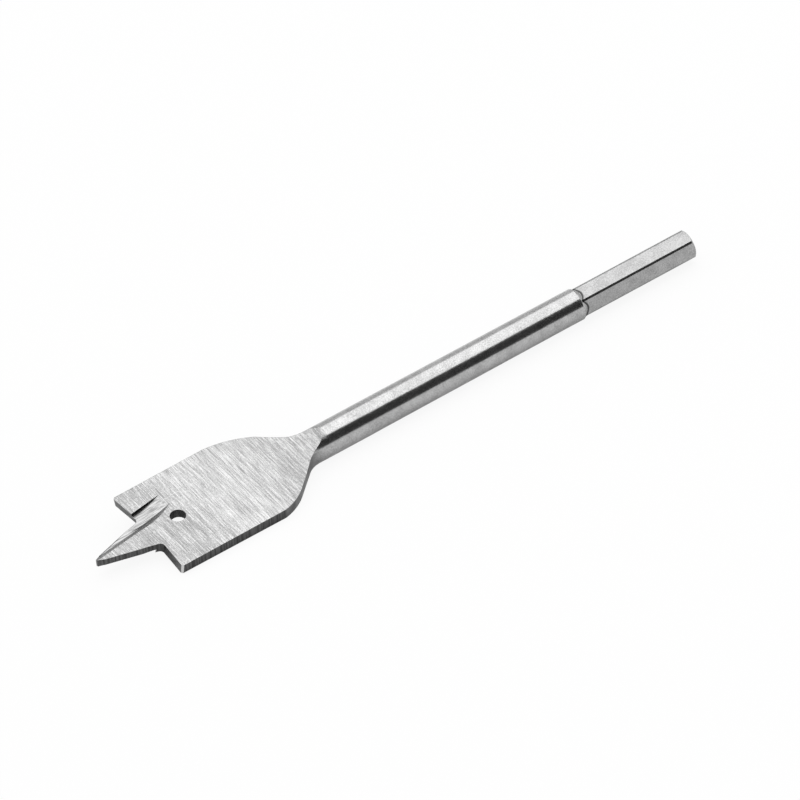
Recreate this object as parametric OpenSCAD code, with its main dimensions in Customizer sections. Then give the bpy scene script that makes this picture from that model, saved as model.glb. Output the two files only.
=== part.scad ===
// Flat spade drill bit with a grooved point, a hanging hole in the blade and a hex shank.
// One forged and ground steel piece. Lengths in millimetres, X runs from the tip to the shank end,
// and the piece lies at Z = 0 as it comes to rest, on the underside of its shank and the edge of one wing.

/* [Overall] */
// Length from the tip to the end of the hex shank
overall_len = 152.4; // [145:0.1:165]
// Width across the two cutting wings
blade_w = 25.4; // [22:0.1:32]
// Blade thickness at the wings
blade_t_front = 2.15; // [1.8:0.05:2.8]
// Blade thickness at the foot of the neck ramp
blade_t_rear = 2.5; // [2.2:0.05:3.2]

/* [Point and wings] */
// Length of the point ahead of the wings
point_len = 12.8; // [10:0.1:16]
// Width of the point where it meets the wings
point_w = 9; // [7:0.1:10]
// Length of the blunt nose of the point
nose_len = 1.4; // [0.8:0.1:2.5]
// Width of the point behind the blunt nose
nose_w = 2.06; // [1.2:0.02:2.4]
// Width of the tip itself
tip_w = 0.6; // [0.3:0.05:1]
// Fillet radius in the corners between the point and the wings
corner_r = 1.1; // [0.6:0.1:1.5]
// How far the outer wing corners lead the inner ones
wing_lead = 0.6; // [0:0.05:0.8]
// How far the trailing edge of a wing front is ground back
wing_relief = 0.3; // [0.1:0.05:0.6]
// Chamfer on the outer corner of each wing
wing_chamfer = 0.4; // [0.2:0.05:0.8]

/* [Point grooves] */
// Radius of the wheel that grinds each groove
wheel_r = 36; // [30:1:40]
// Distance from the tip at which the wheel stops
groove_x = 13.6; // [13:0.1:14]
// Web left under the wheel where it stops, measured from the middle plane
groove_web = 0.3; // [0.2:0.01:0.5]
// How far the straight run of the groove to the tip lies above that place
groove_lift = 0.25; // [0.1:0.01:0.3]
// How far the sloped wall of that run lies above the wheel's
groove_slope_lift = 0.05; // [0.03:0.01:0.1]
// Distance of the upper groove's outer wall from the axis, beside the wing front
groove_wall_y = 6.4; // [6:0.1:7]
// Distance of the lower groove's outer wall from the axis, where it only just clears the wing
groove_under_y = 4.2; // [4:0.1:5]
// Distance of the inner edge of both groove floors from the axis
groove_inner_y = 2.95; // [2.6:0.05:3.2]
// Slope of the inner groove wall
groove_slope = 25; // [20:1:30]
// Turn of the groove away from the axis
groove_turn = 8; // [6:0.5:9]

/* [Blade hole] */
// Diameter of the hole through the blade
hole_d = 3.5; // [2.5:0.1:4]
// Distance of the hole from the tip
hole_x = 20.7; // [20:0.1:26]

/* [Shoulder and neck] */
// Distance from the tip to where the shoulder starts to round
side_len = 37; // [34:0.5:38]
// What is ground off each side of the forged blank to make the straight sides
side_grind = 0.3; // [0.2:0.05:0.5]
// Radius of the rounded shoulder
shoulder_r = 13.25; // [12:0.25:15]
// Angle at which the shoulder runs in toward the shank
shoulder_angle = 41; // [38:1:44]
// Radius of the rounder shoulder on the +Y side
round_side_r = 24; // [22:0.5:26]
// Distance from the tip to where that rounding starts
round_side_x = 33.5; // [32:0.5:34]
// Length over which it runs
round_side_len = 15.5; // [14:0.5:16]
// What is ground off the forged blank on that side
round_side_grind = 0.1; // [0.05:0.05:0.2]
// Fillet radius where the shoulder meets the shank
neck_fillet_r = 5.5; // [3:0.25:7]
// Radius of the ramp that rises from the blade face to the shank
ramp_r = 20; // [16:0.5:24]
// Distance from the tip to the foot of the ramp
ramp_x = 47.6; // [46:0.1:49]

/* [Shank] */
// Shank diameter at the neck
shank_d_neck = 7.5; // [7.2:0.05:8]
// Shank diameter at the hex
shank_d_rear = 7.2; // [7.1:0.05:7.4]
// Distance from the tip to where the shank starts to taper
taper_x = 68; // [62:0.5:70]

/* [Hex] */
// Width across the flats
hex_af = 6.35; // [6.1:0.01:6.4]
// Diameter over the rounded hex corners
hex_corner_d = 7.05; // [6.6:0.05:7.1]
// Length of the hex
hex_len = 29.2; // [25:0.1:32]
// Turn of the hex flats against the blade
hex_turn = 11; // [0:1:30]
// Slope of the cone that leads from the round shank down to the flats
lead_slope = 26; // [20:1:40]
// Chamfer at the end of the hex
end_chamfer = 0.4; // [0.3:0.05:1]

/* [Hidden] */
$fn = 96;
over = 2;

half_w = blade_w / 2;
neck_r = shank_d_neck / 2;
rear_r = shank_d_rear / 2;
hex_x = overall_len - hex_len;
blank_r = half_w + side_grind;
// Shoulder: where its arc ends and where its slope would meet the shank
shoulder_end_x = side_len + shoulder_r * sin(shoulder_angle);
shoulder_end_r = blank_r - shoulder_r * (1 - cos(shoulder_angle));
corner_x = shoulder_end_x + (shoulder_end_r - neck_r) / tan(shoulder_angle);
fillet_run = neck_fillet_r * tan(shoulder_angle / 2);
fillet_x = corner_x + fillet_run;
// Blade taper in thickness, carried on past the tip
face_rise = (blade_t_rear - blade_t_front) / 2 / (ramp_x - point_len);
face_z_start = blade_t_front / 2 - (point_len + over) * face_rise;
cut_top = blank_r + over;
lead_len = (rear_r - hex_af / 2) / tan(lead_slope) + over / 4;
lead_end_r = rear_r - lead_len * tan(lead_slope);
wheel_inner_w = blade_t_rear / tan(groove_slope);
run_shift = (groove_lift - groove_slope_lift) / tan(groove_slope);
wing_turn = atan(wing_lead / (half_w - point_w / 2));
relief_turn = atan(wing_relief / blade_t_front);
nose_rise = (nose_w - tip_w) / 2 / nose_len;
// Corner between point and wing: its place, the slope of the flank there, and the fillet's ends and centre
root_x = point_len + wing_lead;
root_y = point_w / 2;
flank_turn = atan((root_y - nose_w / 2) / (root_x - nose_len));
corner_run = corner_r / tan((90 + flank_turn - wing_turn) / 2);
corner_start = [root_x - corner_run * cos(flank_turn), root_y - corner_run * sin(flank_turn)];
corner_end = [root_x - corner_run * sin(wing_turn), root_y + corner_run * cos(wing_turn)];
corner_centre = corner_start + corner_r * [-sin(flank_turn), cos(flank_turn)];
// Where the ground sides end, half the thickness there, and the roll that brings that edge down to the floor
side_end_x = side_len + shoulder_r * sin(acos(1 - side_grind / shoulder_r));
side_end_z = blade_t_front / 2 + (side_end_x - point_len) * face_rise;
rest_roll = asin(neck_r / sqrt(pow(half_w, 2) + pow(side_end_z, 2))) - atan(side_end_z / half_w);

// Half outline of the round blank: radius against distance from the tip
module blank_profile() {
    polygon([
        [0, -over], [blank_r, -over], [blank_r, side_len], [shoulder_end_r, shoulder_end_x],
        [neck_r, corner_x], [neck_r, taper_x], [rear_r, hex_x], [lead_end_r, hex_x + lead_len],
        [0, hex_x + lead_len]
    ]);
    intersection() {
        translate([blank_r - shoulder_r, side_len])
            circle(r = shoulder_r);
        translate([0, side_len])
            square([blank_r, shoulder_end_x - side_len]);
    }
    difference() {
        polygon([
            [0, corner_x - fillet_run * cos(shoulder_angle)],
            [neck_r + fillet_run * sin(shoulder_angle), corner_x - fillet_run * cos(shoulder_angle)],
            [neck_r, fillet_x],
            [0, fillet_x]
        ]);
        translate([neck_r + neck_fillet_r, fillet_x])
            circle(r = neck_fillet_r);
    }
}

// Round blank with its shoulder, neck and tapered shank, turned about the tool axis
module blank() {
    rotate([0, 90, 0])
        rotate_extrude()
            blank_profile();
}

// What the flattening takes from above: over the blade faces and up the ramp
module flat_cut_profile() {
    polygon([
        [-over, face_z_start], [ramp_x, blade_t_rear / 2], [ramp_x, cut_top], [-over, cut_top]
    ]);
    intersection() {
        translate([ramp_x, blade_t_rear / 2 + ramp_r])
            circle(r = ramp_r);
        translate([ramp_x - over / 2, 0])
            square([ramp_r, cut_top]);
    }
}

// Side view of the flattened blade and neck, as deep as the blank is wide
module flat_cut() {
    rotate([90, 0, 0])
        linear_extrude(height = 2 * (blank_r + over), center = true)
            flat_cut_profile();
}

// Fillet between the point and one wing, in plan
module corner_fill() {
    difference() {
        polygon([corner_start, corner_centre, corner_end, [root_x + corner_r, root_y - corner_r]]);
        translate(corner_centre)
            circle(r = corner_r);
    }
}

// What the rounder shoulder takes off the plan on the +Y side
module round_side() {
    difference() {
        translate([round_side_x, 0])
            square([round_side_len, cut_top]);
        translate([round_side_x, half_w + round_side_grind - round_side_r])
            circle(r = round_side_r);
    }
}

// Plan of the straight ground sides and the rounder shoulder
module plan() {
    linear_extrude(height = 2 * (blank_r + over), center = true)
        difference() {
            translate([0, -half_w])
                square([overall_len, blade_w]);
            round_side();
        }
}

// What is ground away ahead of one wing: its front, the filleted corner and one flank of the point
module wing_cut_plan() {
    difference() {
        polygon([
            [-over, tip_w / 2 - over * nose_rise], [nose_len, nose_w / 2], [root_x, root_y],
            [point_len, half_w - wing_chamfer], [point_len + wing_chamfer + over, half_w + over],
            [-over, half_w + over]
        ]);
        corner_fill();
    }
}

// The same, tilted about the upper edge of the wing front so that the lower edge trails
module wing_cut() {
    translate([point_len, 0, blade_t_front / 2])
        rotate([0, -relief_turn, 0])
            translate([-point_len, 0, 0])
                linear_extrude(height = 4 * blade_t_rear, center = true)
                    wing_cut_plan();
}

// One point groove: the wheel where it stops, and the straight run it leaves on its way to the tip
module groove_cut(wall_y) {
    floor_w = wall_y - groove_inner_y;
    run_w = floor_w + run_shift;
    translate([point_len, wall_y, 0])
        rotate([0, 0, groove_turn])
            translate([groove_x - point_len, 0, groove_web]) {
                translate([0, 0, wheel_r])
                    rotate([90, 0, 0])
                        rotate_extrude()
                            polygon([
                                [0, 0], [wheel_r, 0], [wheel_r, floor_w],
                                [wheel_r - blade_t_rear, floor_w + wheel_inner_w],
                                [0, floor_w + wheel_inner_w]
                            ]);
                translate([0, 0, groove_lift])
                    rotate([90, 0, -90])
                        linear_extrude(height = groove_x + 2 * over)
                            polygon([
                                [0, 0], [run_w, 0], [run_w + wheel_inner_w, blade_t_rear], [0, blade_t_rear]
                            ]);
            }
}

// Hex with rounded corners and a chamfered end
module hex_shank() {
    intersection() {
        translate([hex_x, 0, 0])
            rotate([hex_turn, 0, 0])
                rotate([0, 90, 0])
                    rotate([0, 0, 30])
                        cylinder(d = hex_af / cos(30), h = hex_len, $fn = 6);
        rotate([0, 90, 0])
            rotate_extrude()
                polygon([
                    [0, hex_x - over], [hex_corner_d / 2, hex_x - over],
                    [hex_corner_d / 2, overall_len - end_chamfer],
                    [hex_corner_d / 2 - end_chamfer, overall_len], [0, overall_len]
                ]);
    }
}

// The whole bit, rolled about its axis until one wing touches the floor
module spade_bit() {
    color("#b9bbbd")
        translate([-overall_len / 2, 0, neck_r])
            rotate([rest_roll, 0, 0]) {
                difference() {
                    intersection() {
                        blank();
                        plan();
                    }
                    for (side = [0, 180]) {
                        rotate([side, 0, 0]) {
                            flat_cut();
                            wing_cut();
                        }
                    }
                    groove_cut(groove_wall_y);
                    rotate([180, 0, 0])
                        groove_cut(groove_under_y);
                    translate([hole_x, 0, 0])
                        cylinder(d = hole_d, h = 2 * cut_top, center = true);
                }
                hex_shank();
            }
}

spade_bit();
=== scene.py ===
import math

import bpy
import numpy as np
from mathutils import Matrix, Vector

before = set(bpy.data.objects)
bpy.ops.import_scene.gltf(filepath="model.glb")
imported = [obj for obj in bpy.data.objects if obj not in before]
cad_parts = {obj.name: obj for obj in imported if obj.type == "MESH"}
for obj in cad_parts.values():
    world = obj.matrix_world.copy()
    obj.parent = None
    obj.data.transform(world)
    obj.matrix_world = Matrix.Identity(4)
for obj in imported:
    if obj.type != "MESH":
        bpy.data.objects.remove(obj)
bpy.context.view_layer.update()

MM = 0.001
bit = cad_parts["spade_bit"]
scene = bpy.context.scene

# The bit lies on its shank and one wing, rolled this far about its axis, which runs at this height
REST_ROLL = math.radians(11.648140)
AXIS_HEIGHT = 3.75 * MM
HALF_LENGTH = 76.2 * MM

# Sizes of the bit in millimetres, with lengths along it taken from the tip
NOSE_LENGTH = 1.4
NOSE_HALF_WIDTH = 1.03
FLANK_SLOPE = 0.289
WING_FRONT = 12.8
HALF_WIDTH = 12.7
GROOVE_END = 24.0
GROUND_SIDE_END = 39.8
BLADE_END = 57.3
HEX_START = 123.2
SHANK_REAR_R = 3.6
LEAD_SLOPE = math.radians(26)

# Settings that several nodes share
TIMES = {"operation": "MULTIPLY"}
TIMES_PLUS = {"operation": "MULTIPLY_ADD"}
PLUS = {"operation": "ADD"}
MINUS = {"operation": "SUBTRACT"}
LARGER = {"operation": "MAXIMUM"}
UNSIGNED = {"operation": "ABSOLUTE"}
SMOOTH = {"interpolation_type": "SMOOTHSTEP"}
COLOUR = {"data_type": "RGBA"}
WHITE = (1, 1, 1, 1)


def linear(hex_colour):
    """sRGB hex to linear RGBA: the sRGB power curve undone, channel by channel."""
    c = np.array([int(hex_colour[i : i + 2], 16) for i in (1, 3, 5)]) / 255
    c = np.where(c <= 0.04045, c / 12.92, ((c + 0.055) / 1.055) ** 2.4)
    return (*c.tolist(), 1.0)


def add(tree, kind, inputs=(), **settings):
    """Adds one node. Settings are its properties. Inputs, by name or in the node's own order, are values,
    sockets to link, or nodes whose first live output is linked."""
    node = tree.nodes.new("ShaderNode" + kind)
    for name, value in settings.items():
        setattr(node, name, value)
    live = [socket for socket in node.inputs if socket.enabled]
    for key, value in inputs.items() if isinstance(inputs, dict) else enumerate(inputs):
        socket = node.inputs[key] if isinstance(key, str) else live[key]
        if isinstance(value, bpy.types.Node):
            value = next(output for output in value.outputs if output.enabled)
        if isinstance(value, bpy.types.NodeSocket):
            tree.links.new(value, socket)
        else:
            socket.default_value = value
    return node


def new_material(name):
    material = bpy.data.materials.new(name)
    material.use_nodes = True
    material.node_tree.nodes.clear()
    return material, material.node_tree


def from_tip(distance_mm):
    """Row X of a place so many millimetres behind the tip."""
    return distance_mm * MM - HALF_LENGTH


# Camera: a long lens from four metres, found by fitting the level bit's outlines to the photograph,
# then rolled about the tool axis with the bit
CAMERA_FROM_TIP = Vector((-1426.332, -2403.667, 2862.367)) * MM
CAMERA_RIGHT = (0.81612037, -0.57532428, -0.05430940)
CAMERA_UP = (0.44114734, 0.55955228, 0.70163400)
CAMERA_BACK = (-0.37327813, -0.59657625, 0.71046479)
CAMERA_REACH = 20.0
IMAGE_SIDE_PX = 800
FOCAL_PX = 19125.54
SENSOR_MM = 36.0

lie = Matrix.Translation((-HALF_LENGTH, 0, AXIS_HEIGHT)) @ Matrix.Rotation(REST_ROLL, 4, "X")
turn = Matrix((CAMERA_RIGHT, CAMERA_UP, CAMERA_BACK)).transposed()
camera_data = bpy.data.cameras.new("camera")
camera_data.sensor_width = SENSOR_MM
camera_data.lens = FOCAL_PX / IMAGE_SIDE_PX * SENSOR_MM
camera_data.clip_end = CAMERA_REACH
camera = bpy.data.objects.new("camera", camera_data)
camera.matrix_world = lie @ Matrix.Translation(CAMERA_FROM_TIP) @ turn.to_4x4()
scene.collection.objects.link(camera)
scene.camera = camera

# Steel, noise patterns: millimetres between features along, across and through the bit, then detail and roughness.
# The fine and coarse grinding lines run across the blade and are drawn coarser than the real grit, so that they show
PATTERNS = {
    "fine": ((0.15, 5, 5), 3, 0.75),
    "coarse": ((0.45, 11, 11), 2, 0.5),
    "passes": ((3.5, 25, 25), 2, 0.5),
    "grain": ((0.24, 0.3, 0.3), 3, 0.7),
    "draws": ((12, 0.35, 0.35), 3, 0.5),
    "blotch": ((2.5, 2.5, 2.5), 5, 0.5),
    "groove_lines": ((6, 0.2, 0.2), 2, 0.5),
}
# Shares of the patterns in the ground faces and in the drawn steel
MIXTURES = {
    "ground": {"fine": 0.5, "coarse": 0.12, "passes": 0.07, "grain": 0.31},
    "drawn": {"blotch": 0.3, "grain": 0.7},
}
# The grinding lines are darker near the wings, and toward the foot of the ramp as painted shade, by these shares
DARKER_AT_WINGS = 0.035
SHADE_AT_RAMP = 0.03

# Steel, zones along the bit: millimetres from the tip at which each begins to show and is whole
ZONES = {
    "on_point": (10, 6),
    "at_wing_front": (WING_FRONT + 1.2, WING_FRONT + 1),
    "before_groove_end": (GROOVE_END, GROOVE_END - 1),
    "near_wings": (34, 14),
    "near_ramp": (30, 50),
    "on_ground_side": (GROUND_SIDE_END, GROUND_SIDE_END - 0.3),
    "before_neck": (BLADE_END, BLADE_END - 6),
    "on_blade": (BLADE_END + 1, BLADE_END - 0.5),
    "behind_lead": (HEX_START, HEX_START + 0.05),
    "on_hex": (HEX_START + 0.3, HEX_START + 0.6),
}
# Steel, measures of a place on the surface: the values at which each begins to count and counts in full
SPANS = {
    "level": (0.72, 0.86),
    "steep": (0.6, 0.4),
    "sloped": (0.3, 0.4),
    "slanted": (0.4, 0.45),
    "edge_bend": (0.97, 0.85),
    "corner_shade": (0.9, 0.55),
    "sunk": (1.03 * MM, 0.97 * MM),
    "far_out": ((HALF_WIDTH - 0.7) * MM, (HALF_WIDTH - 0.6) * MM),
    "by_flank": (0.3 * MM, 0.1 * MM),
    "off_cone": (0.01 * MM, 0.04 * MM),
    "by_cone": (0.32 * MM, 0.2 * MM),
}
# Steel, masks: each is the product of zones, measures and earlier masks
MASKS = {
    "faces": ("level", "on_blade"),
    "edges": ("steep", "before_neck"),
    "ground_edges": ("edges", "on_ground_side"),
    "grooves": ("sunk", "faces", "before_groove_end"),
    "shaded_groove_slopes": ("sloped", "faces"),
    "flank_line": ("by_flank", "on_point"),
    "rim_wear_and_highlight": ("edge_bend", "on_blade"),
    "wing_corners": ("slanted", "far_out", "at_wing_front"),
    "cone_rim_shade": ("off_cone", "by_cone", "behind_lead"),
}
RIM_SHARE = 0.5

# Steel, greys: the darkest and lightest of each finish, and the span of its pattern from one to the other
TONES = {
    "face": ("#848484", "#d0d0d0", 0.39, 0.61),
    "groove": ("#868686", "#bcbcbc", 0.35, 0.65),
    "shank": ("#989898", "#c2c2c2", 0.34, 0.66),
    "hex": ("#8c8c8c", "#b2b2b2", 0.34, 0.66),
    "forged_edge": ("#525252", "#767676", 0.3, 0.7),
    "ground_edge": ("#404040", "#686868", 0.3, 0.7),
}
# Steel, layers over a finish in their order: mask, its share, and the finish or colour that is laid on.
# The groove slopes are darkened as painted shade, with a dark line at the point's rim. Rims get a painted highlight
# that also stands for wear, and so do the wing-corner chamfers.
# Painted shade darkens the hole and corners, and a painted shade line lies where the lead cone meets the hex flats
LAYERS = {
    # painted shade on the groove slopes, and a dark line along the point's flank
    "groove": (("shaded_groove_slopes", 0.6, "#6e6e6e"), ("flank_line", 0.8, "#3a3a3a")),
    "face": (("grooves", 1.0, "groove"),),
    "shank": (
        ("on_hex", 1.0, "hex"),
        ("faces", 1.0, "face"),
        ("edges", 1.0, "forged_edge"),
        ("ground_edges", 1.0, "ground_edge"),
        # painted highlight on the rims, partly wear, and on the chamfers at the wing corners
        ("bright", 1.0, "#d2d2d2"),
        # painted shade in the hole and corners, laid where ambient occlusion finds them closed in
        ("corner_shade", 0.9, "#222222"),
        # painted shade line where the lead cone meets the hex flats
        ("cone_rim_shade", 0.85, "#262626"),
    ),
}

# Steel, gloss and relief: roughness of the drawn and ground steel, what blotches and edges add to it,
# the radius of rounded edges and the reach of the painted shade in corners in millimetres, and the strength and
# height of the lines
DRAWN_ROUGHNESS = 0.16
GROUND_ROUGHNESS = 0.33
BLOTCH_ROUGHNESS = 0.06
EDGE_ROUGHNESS = 0.15
EDGE_ROUNDING = 0.14
SHADE_REACH = 1.2
SURFACE_SAMPLES = 8
GROUND_STRENGTH = 0.4
DRAWN_STRENGTH = 0.1
LINE_HEIGHT = 0.02


def steel_material():
    """Bare tool steel, forged and ground: a bright grey mirror on the drawn shank and hex, crossed by
    fine grinding lines on the blade faces and the ramp, darker and rougher on the ground edges."""
    material, tree = new_material("ground_tool_steel")

    # The bit's own axes: X along it, Z square to the blade, with the tool axis at the origin
    coords = add(tree, "TexCoord").outputs["Object"]
    shift = Matrix.Rotation(-REST_ROLL, 3, "X") @ Vector((0, 0, -AXIS_HEIGHT))
    own = add(tree, "Mapping", {"Vector": coords, "Rotation": (-REST_ROLL, 0, 0), "Location": shift})
    along, across, through = add(tree, "SeparateXYZ", (own,)).outputs
    normal = add(tree, "NewGeometry").outputs["True Normal"]
    turned = add(tree, "VectorRotate", {"Vector": normal, "Angle": -REST_ROLL}, rotation_type="X_AXIS")
    facing_x, facing_y, facing_z = add(tree, "SeparateXYZ", (turned,)).outputs

    # How level the surface is, how slanted between X and Y, and how much a rounded edge bends it
    level = add(tree, "Math", (facing_z,), **UNSIGNED)
    slant = add(tree, "Math", (add(tree, "Math", (facing_x, facing_y), **TIMES),), **UNSIGNED)
    rounded_edge = add(tree, "Bevel", {"Radius": EDGE_ROUNDING * MM}, samples=SURFACE_SAMPLES)
    bend = add(tree, "VectorMath", (rounded_edge, normal), operation="DOT_PRODUCT")
    # ambient occlusion, which places the painted shade in the hole and corners
    crevice = add(tree, "AmbientOcclusion", {"Distance": SHADE_REACH * MM}, samples=SURFACE_SAMPLES, only_local=True)

    # Distance in from the point's flank on the side of its groove: the flank is a straight line behind the nose
    outer_y = add(tree, "Math", (across, add(tree, "Math", (through,), operation="SIGN")), **TIMES)
    behind_nose = add(tree, "Math", (along, from_tip(NOSE_LENGTH)), **MINUS)
    flank_y = add(tree, "Math", (behind_nose, FLANK_SLOPE, NOSE_HALF_WIDTH * MM), **TIMES_PLUS)
    inside_flank = add(tree, "Math", (flank_y, outer_y), **MINUS)

    # Distance out from the lead cone, whose radius shrinks steadily behind the start of the hex
    radius = add(tree, "VectorMath", (add(tree, "CombineXYZ", {"Y": across, "Z": through}),), operation="LENGTH")
    outside_shank = add(tree, "Math", (radius, SHANK_REAR_R * MM), **MINUS)
    behind_lead = add(tree, "Math", (along, from_tip(HEX_START)), **MINUS)
    outside_cone = add(tree, "Math", (behind_lead, math.tan(LEAD_SLOPE), outside_shank), **TIMES_PLUS)

    measures = {
        "level": level,
        "steep": level,
        "sloped": add(tree, "Math", (facing_y,), **UNSIGNED),
        "slanted": slant,
        "edge_bend": bend,
        "corner_shade": crevice.outputs["AO"],
        "sunk": add(tree, "Math", (through,), **UNSIGNED),
        "far_out": add(tree, "Math", (across,), **UNSIGNED),
        "by_flank": inside_flank,
        "off_cone": outside_cone,
        "by_cone": outside_cone,
    }
    masks = {name: add(tree, "MapRange", (along, from_tip(begin), from_tip(whole)), **SMOOTH)
             for name, (begin, whole) in ZONES.items()}
    for name, span in SPANS.items():
        masks[name] = add(tree, "MapRange", (measures[name], *span), **SMOOTH)
    for name, (first, *others) in MASKS.items():
        masks[name] = masks[first]
        for other in others:
            masks[name] = add(tree, "Math", (masks[name], masks[other]), **TIMES)
    # painted highlight on the rims, which also stands for wear
    rim_wear_and_highlight = add(tree, "Math", (masks["rim_wear_and_highlight"], RIM_SHARE), **TIMES)
    masks["bright"] = add(tree, "Math", (rim_wear_and_highlight, masks["wing_corners"]), **LARGER)

    patterns = {}
    for name, (spacing, detail, roughness) in PATTERNS.items():
        scaled = add(tree, "Mapping", {"Vector": own, "Scale": [1 / (s * MM) for s in spacing]})
        patterns[name] = add(tree, "TexNoise", {"Vector": scaled, "Scale": 1.0, "Detail": detail,
                                                "Roughness": roughness})
    mixed = {}
    for name, shares in MIXTURES.items():
        mixed[name] = 0.0
        for pattern, share in shares.items():
            mixed[name] = add(tree, "Math", (patterns[pattern], share, mixed[name]), **TIMES_PLUS)
    # painted shade toward the foot of the ramp, and plain darkening near the wings
    face_darkening = add(tree, "Math", (masks["near_ramp"], SHADE_AT_RAMP), **TIMES)
    face_darkening = add(tree, "Math", (masks["near_wings"], DARKER_AT_WINGS, face_darkening), **TIMES_PLUS)
    tone_patterns = {
        "face": add(tree, "Math", (mixed["ground"], face_darkening), **MINUS),
        "groove": patterns["groove_lines"],
        "shank": mixed["drawn"],
        "hex": mixed["drawn"],
        "forged_edge": patterns["blotch"],
        "ground_edge": patterns["coarse"],
    }

    tones = {}
    for name, (dark, light, *span) in TONES.items():
        amount = add(tree, "MapRange", (tone_patterns[name], *span), **SMOOTH)
        tones[name] = add(tree, "Mix", (amount, linear(dark), linear(light)), **COLOUR)
    for name, layers in LAYERS.items():
        for mask, share, laid in layers:
            amount = add(tree, "Math", (masks[mask], share), **TIMES)
            over = tones[laid] if laid in tones else linear(laid)
            tones[name] = add(tree, "Mix", (amount, tones[name], over), **COLOUR)

    rough = add(tree, "MapRange", (masks["faces"], 0, 1, DRAWN_ROUGHNESS, GROUND_ROUGHNESS), **SMOOTH)
    rough = add(tree, "Math", (patterns["blotch"], BLOTCH_ROUGHNESS, rough), **TIMES_PLUS)
    rough = add(tree, "Math", (masks["edges"], EDGE_ROUGHNESS, rough), **TIMES_PLUS)
    where_ground = add(tree, "Math", (masks["faces"], masks["ground_edges"]), **LARGER)
    lines = add(tree, "Math", (patterns["fine"], patterns["coarse"]), **PLUS)
    lines = add(tree, "Math", (lines, where_ground), **TIMES)
    draws = add(tree, "Math", (patterns["draws"], patterns["grain"]), **PLUS)
    relief = rounded_edge
    for height, strength in ((lines, GROUND_STRENGTH), (draws, DRAWN_STRENGTH)):
        relief = add(tree, "Bump", {"Height": height, "Normal": relief, "Strength": strength,
                                    "Distance": LINE_HEIGHT * MM})
    steel = add(tree, "BsdfPrincipled", {"Base Color": tones["shank"], "Roughness": rough, "Normal": relief,
                                         "Metallic": 1.0})
    add(tree, "OutputMaterial", (steel,))
    return material


bit.data.materials.clear()
bit.data.materials.append(steel_material())


def card(name, centre, across, along, material):
    """A flat card: the rectangle spanned by two half-side vectors about its centre."""
    corners = [centre + across * a + along * b for a, b in ((-1, -1), (1, -1), (1, 1), (-1, 1))]
    mesh = bpy.data.meshes.new(name)
    mesh.from_pydata(corners, [], [(0, 1, 2, 3)])
    mesh.materials.append(material)
    obj = bpy.data.objects.new(name, mesh)
    scene.collection.objects.link(obj)
    return obj


# Floor: plain white card. What the camera sees of it is partly its own white, so the shadow on it stays faint
FLOOR_GLOW = 0.9
MIRRORED_GLOW = 0.15
FLOOR_HALF_SIDE = 5
white_card, tree = new_material("white_card")
path = add(tree, "LightPath").outputs
paper = add(tree, "BsdfDiffuse", {"Color": linear("#efefef")})
glow = add(tree, "Emission", {"Color": WHITE, "Strength": 1.0})
mirrored = add(tree, "Math", (path["Is Glossy Ray"], path["Is Transmission Ray"]), **LARGER)
mirrored = add(tree, "Math", (mirrored, MIRRORED_GLOW), **TIMES)
share = add(tree, "Math", (path["Is Camera Ray"], FLOOR_GLOW, mirrored), **TIMES_PLUS)
add(tree, "OutputMaterial", (add(tree, "MixShader", (share, paper, glow)),))
card("floor", Vector(), Vector((FLOOR_HALF_SIDE, 0, 0)), Vector((0, FLOOR_HALF_SIDE, 0)), white_card)

# Room: white where it is seen or mirrored, dimmer as light on the floor
ROOM_LIGHT = 0.72
world = bpy.data.worlds.new("white_room")
scene.world = world
world.use_nodes = True
tree = world.node_tree
tree.nodes.clear()
path = add(tree, "LightPath").outputs
seen = add(tree, "Math", (path["Is Camera Ray"], path["Is Glossy Ray"]), **LARGER)
seen = add(tree, "Math", (seen, path["Is Transmission Ray"]), **LARGER)
strength = add(tree, "MapRange", {"Value": seen, "To Min": ROOM_LIGHT, "To Max": 1.0})
add(tree, "OutputWorld", (add(tree, "Background", {"Color": WHITE, "Strength": strength}),))

# How far along X a mirrored view ray runs for each metre away from the tool axis
MIRROR_LEAD = 0.3733 / 0.9277
LENGTHWISE = Vector((1, 0, 0))


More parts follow.
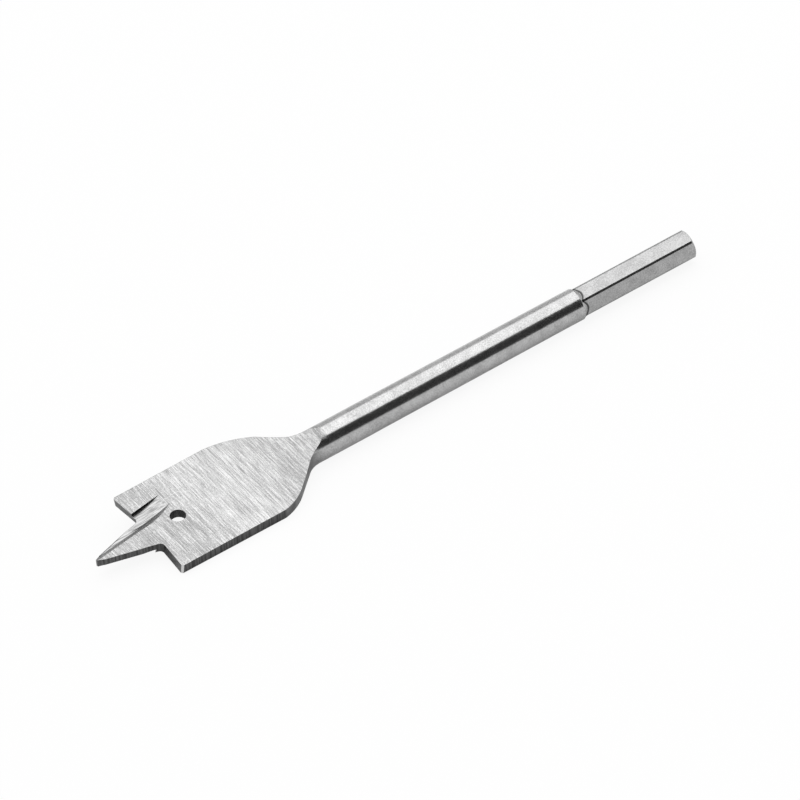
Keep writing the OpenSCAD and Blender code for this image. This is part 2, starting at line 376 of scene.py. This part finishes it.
def beside_axis(angles_deg, distance):
    """A place beside the tool axis that fills two angles, taken from +Y toward +Z: the direction of their
    middle, the centre at a distance that way and moved along X with the mirrored view, and half its width."""
    middle = math.radians(sum(angles_deg) / 2)
    half = math.radians((angles_deg[1] - angles_deg[0]) / 2)
    out = Vector((0, math.cos(middle), math.sin(middle)))
    return out, (out + LENGTHWISE * MIRROR_LEAD) * distance, distance * math.tan(half)


# Softbox over and behind the bit: the bright band along the shank and the light on the blade
SOFTBOX_RADIANCE = 0.9
SOFTBOX_ANGLES = (47, 121)
SOFTBOX_DISTANCE = 1.4
SOFTBOX_LENGTH = 2.6
out, centre, half_width = beside_axis(SOFTBOX_ANGLES, SOFTBOX_DISTANCE)
softbox_data = bpy.data.lights.new("softbox", "AREA")
softbox_data.shape = "RECTANGLE"
softbox_data.size = SOFTBOX_LENGTH
softbox_data.size_y = 2 * half_width
softbox_data.energy = SOFTBOX_RADIANCE * math.pi * SOFTBOX_LENGTH * 2 * half_width
softbox = bpy.data.objects.new("softbox", softbox_data)
facing = Matrix((LENGTHWISE, out.cross(LENGTHWISE), out)).transposed()
softbox.matrix_world = Matrix.Translation(centre) @ facing.to_4x4()
scene.collection.objects.link(softbox)

# Cards that only the steel mirrors, with their material, colour and angles. The dark flag on the camera's side
# makes the dark stripe along the shank and the dark line on the hex corners. The white card on the far side,
# a little dimmer than the room, makes the grey rim along the top of the shank
CARDS = {
    "dark_flag": ("black_cloth", "#464646", (121, 178)),
    "rim_card": ("dim_white_card", "#f2f2f2", (-4, 46)),
}
CARD_DISTANCE = 1.0
CARD_HALF_LENGTH = 1.5
for name, (material_name, colour, angles) in CARDS.items():
    material, tree = new_material(material_name)
    add(tree, "OutputMaterial", (add(tree, "BsdfDiffuse", {"Color": linear(colour)}),))
    out, centre, half_width = beside_axis(angles, CARD_DISTANCE)
    mirrored_card = card(name, centre, LENGTHWISE * CARD_HALF_LENGTH, out.cross(LENGTHWISE) * half_width, material)
    mirrored_card.visible_camera = False
    mirrored_card.visible_diffuse = False
    mirrored_card.visible_shadow = False

scene.view_settings.view_transform = "Standard"
